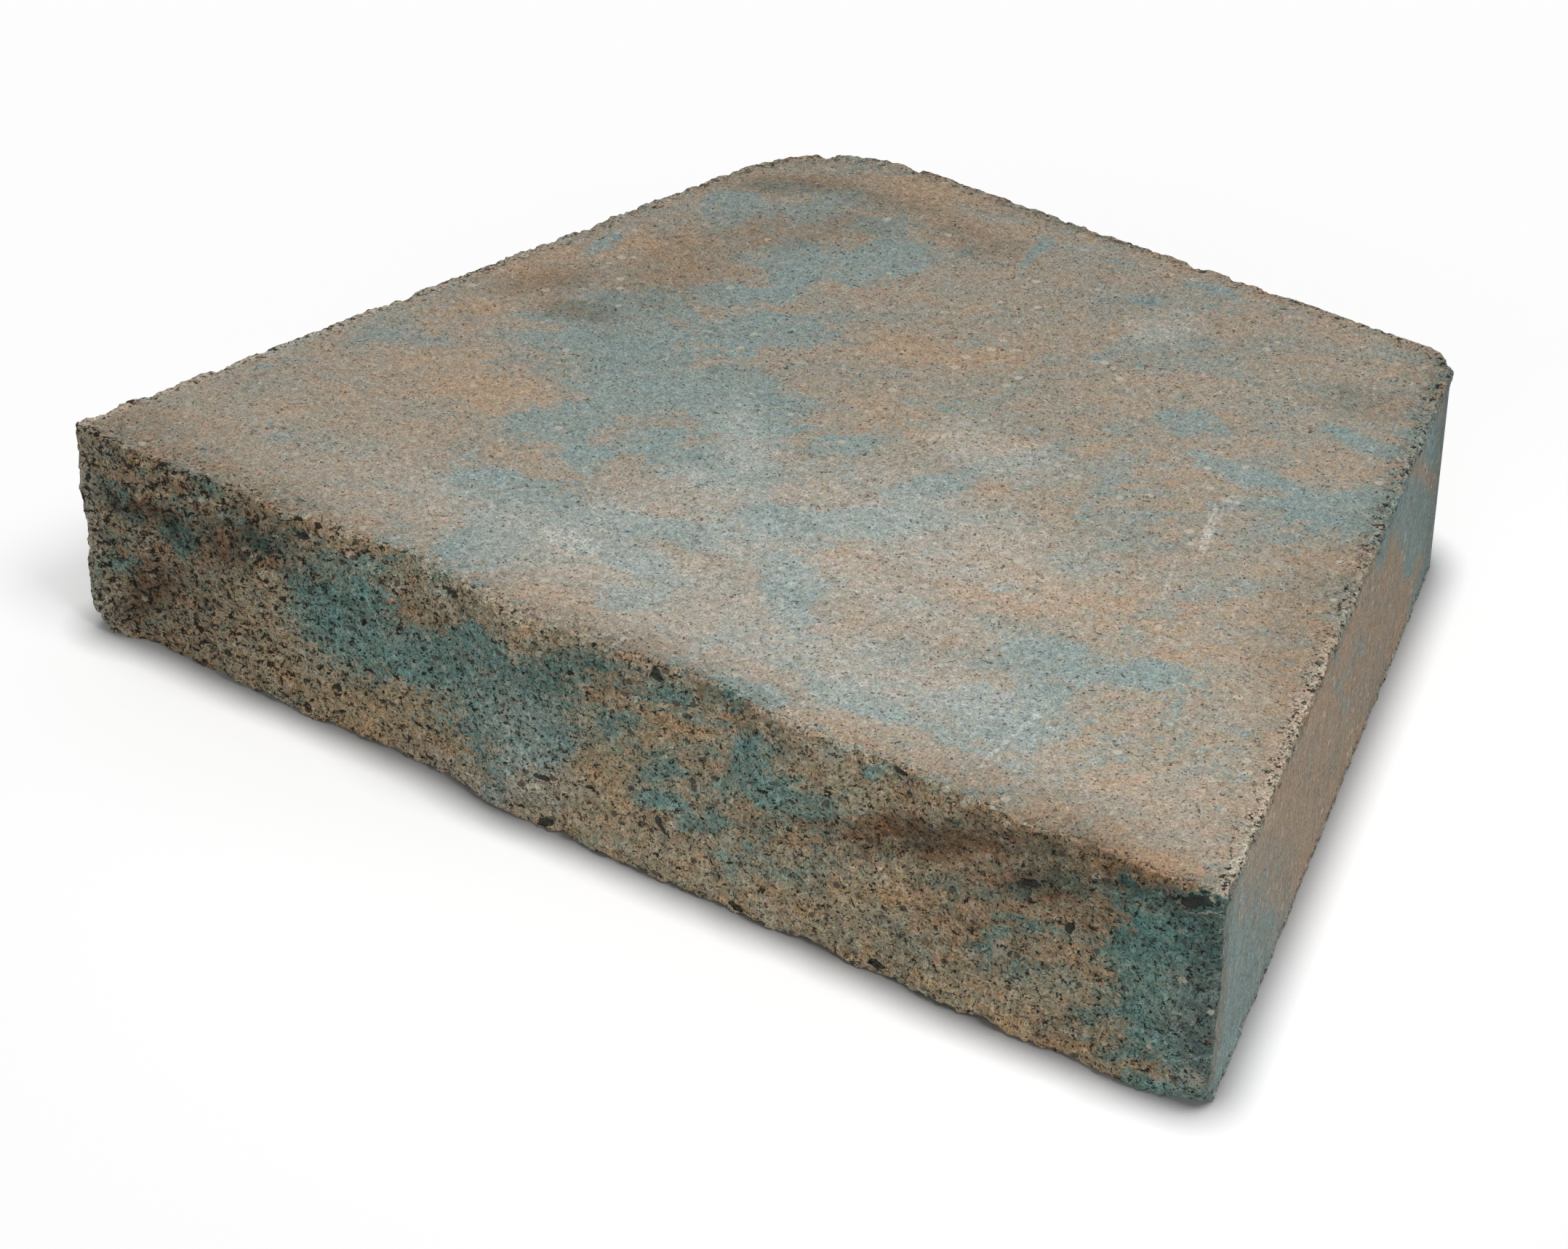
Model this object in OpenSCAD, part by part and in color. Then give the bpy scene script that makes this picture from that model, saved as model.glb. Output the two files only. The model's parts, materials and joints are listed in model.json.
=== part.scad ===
// Retaining wall cap block: a tapered slab of dry-cast concrete with a split front face.
// Two blocks are moulded as one blank and split apart, so the front is broken stone and
// every other side is as it left the mould.
// Millimetres. X runs along the split face, Y to the back, Z up. The block lies on z = 0
// with the middle of its bounding box over the origin.

/* [Block] */
// Width of the block along its split face
front_w = 438; // [300:1:600]
// Width of the block along its back, before the corners are rounded
back_w = 262; // [160:1:300]
// Depth of the block from the split line to its back
depth = 305; // [200:1:450]
// Height of the block
height = 81; // [50:1:200]

/* [Moulded corners and edges] */
// Radius of the left back corner
left_corner_r = 58; // [10:1:80]
// Radius of the right back corner
right_corner_r = 16; // [10:1:80]
// Leg of the small bevel that the mould leaves round the top and the bed
arris = 0.6; // [0.3:0.1:4]

/* [Split face] */
// How far the split wanders in and out of its straight line
split_wander = 5; // [0:0.5:12]
// Height of the lumps that the broken aggregate leaves
lump_relief = 1.8; // [0:0.1:5]
// Spacing of the lumps
lump_pitch = 16; // [10:1:40]
// Height of the small facets between the lumps
facet_relief = 0.9; // [0:0.1:2]
// Size of one broken facet
facet = 5.5; // [5:0.5:12]
// How far the edges of the split face have crumbled back
edge_crumble = 1.2; // [0:0.1:6]
// How much of the lower front corners has spalled away
corner_spall = 10; // [0:0.5:20]
// Number that picks the pattern of the broken stone
stone_seed = 11; // [1:1:200]

/* [Hidden] */
// Straight steps in each rounded corner
arc_steps = 18;

buff = [0.63, 0.58, 0.51];

// How far the split lies outside its straight line (+1) or inside it (-1), from left to right,
// along the face's top edge (brow) and its bottom edge (toe)
brow_wander = [0.6, 0.7, 0.5, 0.2, -0.5, 0.6, 0.3, -0.6, 0.1, -0.1, -0.1, -0.4, -0.8];
toe_wander = [0.5, -0.2, -0.1, -0.1, -0.2, 0.8, 0.3, 0.1, 0.1, 0.1, -0.1, -0.2, -0.4];

// Slope of the side faces, which lets caps turn a curve side by side
taper = atan((front_w - back_w) / (2 * depth));
// Room past the widest wander and relief, so that the waste takes off the whole front
clearance = 10;
waste = split_wander + lump_relief + facet_relief + clearance;
// The broken surface runs this far past the block all round
margin = 1.5 * facet;
grid_w = front_w + 2 * margin;
grid_h = height + 2 * margin;
columns = ceil(grid_w / facet);
rows = ceil(grid_h / facet);
// Share of a facet by which its corners are shifted, so that no rows show in the stone
shift = 0.3 * facet;

function clamp01(t) = min(1, max(0, t));
function ease(t) = t * t * (3 - 2 * t);
function mix(a, b, t) = a + (b - a) * t;

// A list read at t from 0 to 1, smoothly from one entry to the next
function along(list, t) =
    let (s = clamp01(t) * (len(list) - 1), i = min(floor(s), len(list) - 2))
    mix(list[i], list[i + 1], ease(s - i));

// Lumps: random heights on a lattice one step larger than the grid, read smoothly between
lattice_columns = ceil((grid_w + 2 * shift) / lump_pitch) + 2;
lattice_rows = ceil((grid_h + 2 * shift) / lump_pitch) + 2;
lattice = rands(-1, 1, lattice_columns * lattice_rows, stone_seed);
function lattice_row(i, j, a) =
    mix(lattice[j * lattice_columns + i], lattice[j * lattice_columns + i + 1], a);
function lump(x, z) =
    let (
        u = (x + grid_w / 2 + shift) / lump_pitch, i = floor(u), a = ease(u - i),
        v = (z + margin + shift) / lump_pitch, j = floor(v), b = ease(v - j)
    )
    mix(lattice_row(i, j, a), lattice_row(i, j + 1, a), b);

// How far the split stands out of its straight line at a place on the face
function wander(x, z) =
    let (t = x / front_w + 0.5)
    split_wander * mix(along(toe_wander, t), along(brow_wander, t), ease(clamp01(z / height)));
// Setback at the edges of the face, which fades over twice its own depth
function crumble(x, z) =
    let (from_edge = min(z, height - z, front_w / 2 - abs(x)))
    edge_crumble * pow(clamp01(1 - from_edge / max(2 * edge_crumble, 1)), 2);
// Setback at the two lower corners
function spall(x, z) =
    let (from_corner = norm([front_w / 2 - abs(x), z]))
    corner_spall * pow(clamp01(1 - from_corner / max(corner_spall, 1)), 1.5);
function split_y(x, z) =
    crumble(x, z) + spall(x, z) - wander(x, z) - lump_relief * lump(x, z);

// Random shifts of each grid point along X, Y and Z
points_n = (columns + 1) * (rows + 1);
shift_x = rands(-shift, shift, points_n, stone_seed + 1);
shift_y = rands(-facet_relief, facet_relief, points_n, stone_seed + 2);
shift_z = rands(-shift, shift, points_n, stone_seed + 3);
split_points = [
    for (j = [0:rows], i = [0:columns])
        let (
            n = j * (columns + 1) + i,
            x = i * grid_w / columns - grid_w / 2,
            z = j * grid_h / rows - margin,
            // The rim lies outside the block and stays straight
            rim = i == 0 || i == columns || j == 0 || j == rows
        )
        rim ? [x, 0, z]
            : [x + shift_x[n], split_y(x + shift_x[n], z + shift_z[n]) + shift_y[n], z + shift_z[n]]
];

// The split's furthest reach forward within the block, and the middle of the whole depth
reach_y = min([
    for (p = split_points) if (abs(p.x) <= front_w / 2 && p.z >= 0 && p.z <= height) p.y
]);
middle_y = (reach_y + depth) / 2;

// Plan of the blank, drawn in from its full outline by inset. The sides face taper degrees
// above X, so a rounded corner sweeps from there to the back's normal at 90 degrees.
function corner_centre(r) = [back_w / 2 - r * tan(45 - taper / 2), depth - r];
function corner_arc(r, inset) = [
    for (k = [0:arc_steps])
        let (turn = mix(taper, 90, k / arc_steps))
        corner_centre(r) + (r - inset) * [cos(turn), sin(turn)]
];
function waste_corner(inset) = [front_w / 2 + waste * tan(taper) - inset / cos(taper), -waste];
function mirrored(points) = [for (k = [len(points) - 1:-1:0]) [-points[k].x, points[k].y]];
function blank_plan(inset) = concat(
    [waste_corner(inset)], corner_arc(right_corner_r, inset),
    mirrored(corner_arc(left_corner_r, inset)), mirrored([waste_corner(inset)])
);

// The blank as it leaves the mould, with the waste still on its front: a loft through four
// plans, of which the lowest and the highest are drawn in by the bevel
module moulded_blank() {
    levels = [[arris, 0], [0, arris], [0, height - arris], [arris, height]];
    around = len(blank_plan(0));
    polyhedron(
        points = [for (level = levels, p = blank_plan(level[0])) [p.x, p.y, level[1]]],
        faces = concat(
            [[for (k = [0:around - 1]) k]],
            [[for (k = [around - 1:-1:0]) 3 * around + k]],
            [for (j = [0:2], k = [0:around - 1])
                let (next = (k + 1) % around)
                [j * around + k, (j + 1) * around + k, (j + 1) * around + next, j * around + next]]
        )
    );
}

// All that comes off in front of the broken surface
module split_waste() {
    across = columns + 1;
    front = len(split_points);
    front_y = -2 * waste;
    low = split_points[0];
    high = split_points[front - 1];
    polyhedron(
        points = concat(split_points, [
            [low.x, front_y, low.z], [high.x, front_y, low.z],
            [high.x, front_y, high.z], [low.x, front_y, high.z]
        ]),
        faces = concat(
            // Each cell is two triangles, and its diagonal changes from cell to cell
            [for (j = [0:rows - 1], i = [0:columns - 1], half = [0, 1])
                let (a = j * across + i, b = a + 1, c = a + across, d = c + 1)
                (i + j) % 2 == 0
                    ? (half == 0 ? [a, b, c] : [b, d, c])
                    : (half == 0 ? [a, b, d] : [a, d, c])],
            [[front, front + 3, front + 2, front + 1]],
            [[front + 1, each [for (i = [columns:-1:0]) i], front]],
            [[front + 3, each [for (i = [0:columns]) rows * across + i], front + 2]],
            [[front, each [for (j = [0:rows]) j * across], front + 3]],
            [[front + 2, each [for (j = [rows:-1:0]) j * across + columns], front + 1]]
        )
    );
}

module cap_block() {
    color(buff)
        translate([0, -middle_y, 0])
            difference() {
                moulded_blank();
                split_waste();
            }
}

cap_block();
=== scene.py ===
import bpy
import json
import math
import numpy
from mathutils import Matrix, Vector

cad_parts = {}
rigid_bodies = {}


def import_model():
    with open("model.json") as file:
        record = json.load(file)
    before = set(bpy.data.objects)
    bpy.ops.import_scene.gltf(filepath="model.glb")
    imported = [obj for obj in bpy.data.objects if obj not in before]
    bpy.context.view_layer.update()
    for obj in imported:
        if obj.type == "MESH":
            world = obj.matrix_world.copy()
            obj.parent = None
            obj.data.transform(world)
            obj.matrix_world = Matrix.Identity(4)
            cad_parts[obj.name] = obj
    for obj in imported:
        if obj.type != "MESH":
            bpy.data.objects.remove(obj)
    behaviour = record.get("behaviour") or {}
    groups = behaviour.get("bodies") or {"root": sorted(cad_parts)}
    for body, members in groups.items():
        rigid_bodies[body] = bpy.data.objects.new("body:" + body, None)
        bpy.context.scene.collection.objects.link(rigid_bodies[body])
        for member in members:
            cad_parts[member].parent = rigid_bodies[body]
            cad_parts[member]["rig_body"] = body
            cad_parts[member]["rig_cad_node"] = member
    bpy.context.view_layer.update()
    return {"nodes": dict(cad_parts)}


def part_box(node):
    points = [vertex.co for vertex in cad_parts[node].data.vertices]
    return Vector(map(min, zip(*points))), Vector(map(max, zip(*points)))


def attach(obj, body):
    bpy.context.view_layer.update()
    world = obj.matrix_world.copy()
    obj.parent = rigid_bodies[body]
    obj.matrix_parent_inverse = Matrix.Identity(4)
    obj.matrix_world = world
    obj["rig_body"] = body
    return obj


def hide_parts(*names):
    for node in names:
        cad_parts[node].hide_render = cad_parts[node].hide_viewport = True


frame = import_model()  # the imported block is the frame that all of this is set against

blockLow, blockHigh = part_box("cap_block")
mm = 0.001
print("frame loaded")

# Camera: low three-quarter view onto the split face, the right side and the top
cameraPlan = {
    "place": (0.6823, -1.0330, 0.8750),
    "turn": 34.895,  # degrees round Z
    "tilt": 54.855,  # degrees up from straight down
    "roll": 0.606,
    "lens": 102.34,
    "sensor": 36,
    "clip": (0.05, 50),  # nearest and farthest that it sees, metres
}


def makeCamera():
    bpy.ops.object.camera_add()
    camera = bpy.context.object
    camera.name = "camera"
    turn = Matrix.Rotation(math.radians(cameraPlan["turn"]), 4, "Z")
    tilt = Matrix.Rotation(math.radians(cameraPlan["tilt"]), 4, "X")
    roll = Matrix.Rotation(math.radians(cameraPlan["roll"]), 4, "Z")
    camera.matrix_world = Matrix.Translation(cameraPlan["place"]) @ turn @ tilt @ roll
    camera.data.lens = cameraPlan["lens"]
    camera.data.sensor_width = cameraPlan["sensor"]
    camera.data.clip_start, camera.data.clip_end = cameraPlan["clip"]
    bpy.context.scene.camera = camera


# Light: one large soft lamp high on the right, and an even pale room
lightPlan = {
    "from": (0.54, -0.16, 1.22),  # where the lamp hangs, metres
    "towards": (0, 0, 0.04),
    "size": 0.55,
    "watts": 12.3,
    "room": 0.36,  # how much comes evenly from all round
    "white": 0.985,  # what the camera sees behind it all
}


def aimAt(thing, target):
    away = thing.location - Vector(target)
    thing.rotation_euler = away.to_track_quat("Z", "Y").to_euler()


def seenDirectly(tree):
    path = tree.nodes.new("ShaderNodeLightPath")
    seen = joinMath(tree, "MAXIMUM", path.outputs["Is Camera Ray"], path.outputs["Is Glossy Ray"])
    return joinMath(tree, "MAXIMUM", seen, path.outputs["Is Transmission Ray"])


def makeLight():
    bpy.ops.object.light_add(type="AREA", location=lightPlan["from"])
    lamp = bpy.context.object
    lamp.name = "softLamp"
    lamp.data.shape = "DISK"
    lamp.data.size = lightPlan["size"]
    lamp.data.energy = lightPlan["watts"]
    aimAt(lamp, lightPlan["towards"])
    world = bpy.data.worlds.new("room")
    world.use_nodes = True
    bpy.context.scene.world = world
    tree = world.node_tree
    backdrop = tree.nodes["Background"]
    backdrop.inputs["Color"].default_value = (1, 1, 1, 1)
    level = spread(tree, seenDirectly(tree), 0, 1, lightPlan["room"], lightPlan["white"], smooth=False)
    tree.links.new(level, backdrop.inputs["Strength"])


# Short hands for building materials. A value is a number, a colour or another node's output.
def put(tree, kind, values=(), **settings):
    node = tree.nodes.new("ShaderNode" + kind)
    for name, value in settings.items():
        setattr(node, name, value)
    for place, value in dict(values).items():
        if isinstance(value, bpy.types.NodeSocket):
            tree.links.new(value, node.inputs[place])
        else:
            node.inputs[place].default_value = value
    return node


def joinMath(tree, operation, first, second=0.0, clamp=False):
    node = put(tree, "Math", {0: first, 1: second}, operation=operation, use_clamp=clamp)
    return node.outputs[0]


def spread(tree, value, low, high, newLow=0.0, newHigh=1.0, smooth=True):
    ends = {"Value": value, "From Min": low, "From Max": high, "To Min": newLow, "To Max": newHigh}
    node = put(tree, "MapRange", ends, interpolation_type="SMOOTHSTEP" if smooth else "LINEAR")
    return node.outputs["Result"]


def mixColours(tree, share, first, second, blend="MIX"):
    node = put(tree, "Mix", {0: share, 6: first, 7: second}, data_type="RGBA", blend_type=blend)
    return node.outputs[2]


def noiseAt(tree, where, spacing, detail, rough):
    # spacing is how far apart the lumps of the pattern lie, in metres
    looks = {"Vector": where, "Scale": 1 / spacing, "Detail": detail, "Roughness": rough}
    return put(tree, "TexNoise", looks)


def greyOf(tree, value):
    return put(tree, "CombineColor", {0: value, 1: value, 2: value}).outputs[0]


def cellsAt(tree, where, size):
    return put(tree, "TexVoronoi", {"Vector": where, "Scale": 1 / (size * mm)})


def tone(red, green, blue):
    # a colour as it reads on a paint chart, from 0 to 255
    parts = [part / 255 for part in (red, green, blue)]
    return [part / 12.92 if part <= 0.04045 else ((part + 0.055) / 1.055) ** 2.4 for part in parts] + [1]


# Floor: plain and pale, with the block's soft shadow close round its foot
floorPlan = {
    "size": 12.0,
    "contact": 0.015,  # how far the dark at the foot reaches
    "hiddenFrom": 0.5,  # how shut in the floor is where it is darkest
    "footTone": 0.26,
    "litRadius": (0.185, 0.38),  # real light inside, plain white outside
    # a little glow that keeps the lit part as white as the rest, more on the left, away from the lamp
    "liftFrom": (-0.3, 0.19),
    "liftTo": (0.1, 0.06),
    "bounce": 0.8,  # what the floor throws back at the block
}


def makeFloor():
    bpy.ops.mesh.primitive_plane_add(size=floorPlan["size"], location=(0, 0, 0))
    floor = bpy.context.object
    floor.name = "floor"
    material = bpy.data.materials.new("paleFloor")
    material.use_nodes = True
    tree = material.node_tree
    tree.nodes.clear()
    shadow = put(tree, "AmbientOcclusion", {"Distance": floorPlan["contact"]}, samples=12)
    openness = shadow.outputs["AO"]
    dark = spread(tree, openness, floorPlan["hiddenFrom"], 1.0, floorPlan["footTone"], 1.0, smooth=False)
    pale = greyOf(tree, dark)
    lit = put(tree, "BsdfDiffuse", {"Color": pale}).outputs[0]
    place = put(tree, "TexCoord").outputs["Object"]
    x = put(tree, "SeparateXYZ", {0: place}).outputs["X"]
    (fromX, fromLift), (toX, toLift) = floorPlan["liftFrom"], floorPlan["liftTo"]
    lift = spread(tree, x, fromX, toX, fromLift, toLift, smooth=False)
    glow = put(tree, "Emission", {"Color": pale, "Strength": lift}).outputs[0]
    lit = put(tree, "AddShader", {0: lit, 1: glow}).outputs[0]
    plain = put(tree, "Emission", {"Color": pale, "Strength": lightPlan["white"]}).outputs[0]
    away = put(tree, "VectorMath", {0: place}, operation="LENGTH").outputs["Value"]
    near, far = floorPlan["litRadius"]
    seen = put(tree, "MixShader", {0: spread(tree, away, near, far), 1: lit, 2: plain}).outputs[0]
    grey = floorPlan["bounce"]
    bounce = put(tree, "BsdfDiffuse", {"Color": (grey, grey, grey, 1)}).outputs[0]
    both = put(tree, "MixShader", {0: seenDirectly(tree), 1: bounce, 2: seen}).outputs[0]
    put(tree, "OutputMaterial", {"Surface": both})
    floor.data.materials.append(material)


# Block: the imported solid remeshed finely, then broken, pitted and worn
blockPlan = {
    "cell": 0.9 * mm,  # size of a mesh cell
    "quickCell": 1.8 * mm,
    "triangles": 190000,
    # each layer of relief: kind, spacing, height, level that stays still, detail
    "crag": {"spacing": 14 * mm, "height": 1.6 * mm, "still": 0.5, "detail": 2},
    "rubble": {"spacing": 4 * mm, "height": -1.2 * mm, "still": 0.35},
    "grit": {"spacing": 2.2 * mm, "height": 1.4 * mm, "still": 0.5, "detail": 2},
    "bites": {"spacing": 9 * mm, "height": -2.4 * mm, "still": 0.52, "detail": 1},
    "crumbs": {"spacing": 2.6 * mm, "height": -2.2 * mm, "still": 0.45, "detail": 2},
    # the break is what faces forward within its depth; the edges are what slopes between the faces
    "breakFacing": -0.35,
    "breakDepth": 25 * mm,
    "breakSlope": 0.9,
    "rimSlope": (0.15, 0.97),
    "browRings": 2,  # rings of points of the top that go with the break
    "rimRings": 3,  # rings of points that are bitten along each moulded edge
    "browBlur": 3,
    "blur": 4,
    "breakPasses": 5,  # how much the break is smoothed before its relief
    # the near corner is worn round: its width, depth and clearance below the top, and its foot's height
    "soft": {"width": 12 * mm, "depth": 14 * mm, "below": 6 * mm, "foot": 14 * mm},
    "softPasses": 40,
    "footPasses": 200,
}


def copyOfNode(node, name):
    bpy.ops.object.select_all(action="DESELECT")
    node.select_set(True)
    bpy.context.view_layer.objects.active = node
    bpy.ops.object.duplicate()
    piece = bpy.context.object
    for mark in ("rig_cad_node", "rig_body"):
        del piece[mark]
    piece.parent = None
    piece.name = name
    piece.data.name = name
    bpy.ops.object.mode_set(mode="EDIT")
    bpy.ops.mesh.select_all(action="SELECT")
    bpy.ops.mesh.remove_doubles(threshold=0.001 * mm)
    bpy.ops.object.mode_set(mode="OBJECT")
    return piece


def applyModifier(piece, kind, **settings):
    bpy.ops.object.modifier_add(type=kind)
    modifier = piece.modifiers[-1]
    for name, value in settings.items():
        setattr(modifier, name, value)
    bpy.ops.object.modifier_apply(modifier=modifier.name)


def placesAndNormals(piece):
    count = len(piece.data.vertices)
    places = numpy.empty(count * 3, numpy.float32)
    normals = numpy.empty(count * 3, numpy.float32)
    piece.data.vertices.foreach_get("co", places)
    piece.data.vertex_normals.foreach_get("vector", normals)
    return places.reshape(-1, 3), normals.reshape(-1, 3)


def makeGroup(piece, name, chosen, growth, smoothing):
    # the chosen points and some rings round them, fading out
    bpy.ops.object.mode_set(mode="EDIT")
    bpy.ops.mesh.select_mode(type="VERT")
    bpy.ops.mesh.select_all(action="DESELECT")
    bpy.ops.object.mode_set(mode="OBJECT")
    piece.data.vertices.foreach_set("select", chosen)
    bpy.ops.object.vertex_group_add()
    piece.vertex_groups.active.name = name
    bpy.ops.object.mode_set(mode="EDIT")
    for ring in range(growth):
        bpy.ops.mesh.select_more()
    bpy.ops.object.vertex_group_assign()
    bpy.ops.mesh.select_all(action="SELECT")
    bpy.ops.object.vertex_group_smooth(group_select_mode="ACTIVE", factor=0.5, repeat=smoothing)
    bpy.ops.object.mode_set(mode="OBJECT")


def smoothGroup(piece, group, passes):
    applyModifier(piece, "SMOOTH", factor=0.5, iterations=passes, vertex_group=group)


def relief(piece, name, kind, group):
    layer = blockPlan[name]
    texture = bpy.data.textures.new(name, kind)
    texture.noise_scale = layer["spacing"]
    if kind == "CLOUDS":
        texture.noise_depth = layer["detail"]
    applyModifier(
        piece, "DISPLACE", texture=texture, texture_coords="LOCAL", direction="NORMAL",
        strength=layer["height"], mid_level=layer["still"], vertex_group=group,
    )


def keepInside(piece):
    # nothing that was pushed out may pass the block's real size
    places, normals = placesAndNormals(piece)
    places = numpy.clip(places, numpy.array(blockLow), numpy.array(blockHigh))
    piece.data.vertices.foreach_set("co", places.ravel())
    piece.data.update()


def groupToAttribute(piece, name):
    # materials can't read a vertex group, so it becomes an attribute of the same name
    weights = [0.0] * len(piece.data.vertices)
    wanted = piece.vertex_groups[name].index
    for vertex in piece.data.vertices:
        for entry in vertex.groups:
            if entry.group == wanted:
                weights[vertex.index] = entry.weight
    piece.vertex_groups.clear()
    attribute = piece.data.attributes.new(name, "FLOAT", "POINT")
    attribute.data.foreach_set("value", weights)


def makeBlock():
    piece = copyOfNode(frame["nodes"]["cap_block"], "capBlock")
    cell = blockPlan["cell"]
    applyModifier(piece, "REMESH", mode="VOXEL", voxel_size=cell)
    print("block remeshed:", len(piece.data.vertices), "points")

    places, normals = placesAndNormals(piece)
    x, y, z = places.T
    slope = numpy.abs(normals[:, 2])
    forward = (normals[:, 1] < blockPlan["breakFacing"]) & (slope < blockPlan["breakSlope"])
    broken = forward & (y < blockLow.y + blockPlan["breakDepth"])
    leastSlope, mostSlope = blockPlan["rimSlope"]
    rim = (slope > leastSlope) & (slope < mostSlope) & ~broken
    upperRim = rim & (z > blockHigh.z / 2)  # the edges at the bed are less bitten
    soft = blockPlan["soft"]
    nearCorner = (x > blockHigh.x - soft["width"]) & (y < blockLow.y + soft["depth"])
    makeGroup(piece, "broken", broken, blockPlan["browRings"], blockPlan["browBlur"])
    makeGroup(piece, "rim", rim, blockPlan["rimRings"], blockPlan["blur"])
    makeGroup(piece, "upperRim", upperRim, blockPlan["rimRings"], blockPlan["blur"])
    makeGroup(piece, "corner", nearCorner & (z < blockHigh.z - soft["below"]), 0, blockPlan["blur"])
    makeGroup(piece, "foot", nearCorner & (z < soft["foot"]), 0, blockPlan["blur"])

    smoothGroup(piece, "broken", blockPlan["breakPasses"])
    relief(piece, "crag", "CLOUDS", "broken")
    relief(piece, "rubble", "VORONOI", "broken")
    relief(piece, "grit", "CLOUDS", "broken")
    relief(piece, "bites", "CLOUDS", "upperRim")
    relief(piece, "crumbs", "CLOUDS", "rim")
    smoothGroup(piece, "corner", blockPlan["softPasses"])
    smoothGroup(piece, "foot", blockPlan["footPasses"])
    print("block broken and worn")

    triangles = 2 * len(piece.data.polygons)
    share = min(1, blockPlan["triangles"] / triangles)
    applyModifier(piece, "DECIMATE", decimate_type="COLLAPSE", ratio=share)
    keepInside(piece)
    groupToAttribute(piece, "broken")
    bpy.ops.object.shade_smooth()
    piece.data.materials.clear()
    piece.data.materials.append(concrete())
    print("block finished:", len(piece.data.polygons), "faces")
    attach(piece, "root")
    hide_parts("cap_block")
    return piece


# How the moulded sides stand, which the material needs to know where the edges are
sidePlan = {
    "start": (218, 6),  # the right side's front edge: x, and how far behind the block's front, in mm
    "heading": 106.1,  # degrees in plan along which the right side runs back
    "reach": 168.97,  # how far each side's plane lies from the middle, in mm
    "cornerBlend": (70, 19),  # how widely the left and the right back corner are rounded, in mm
    "crumbly": 7,  # how wide the worn band along the edges is, in mm
}


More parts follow.
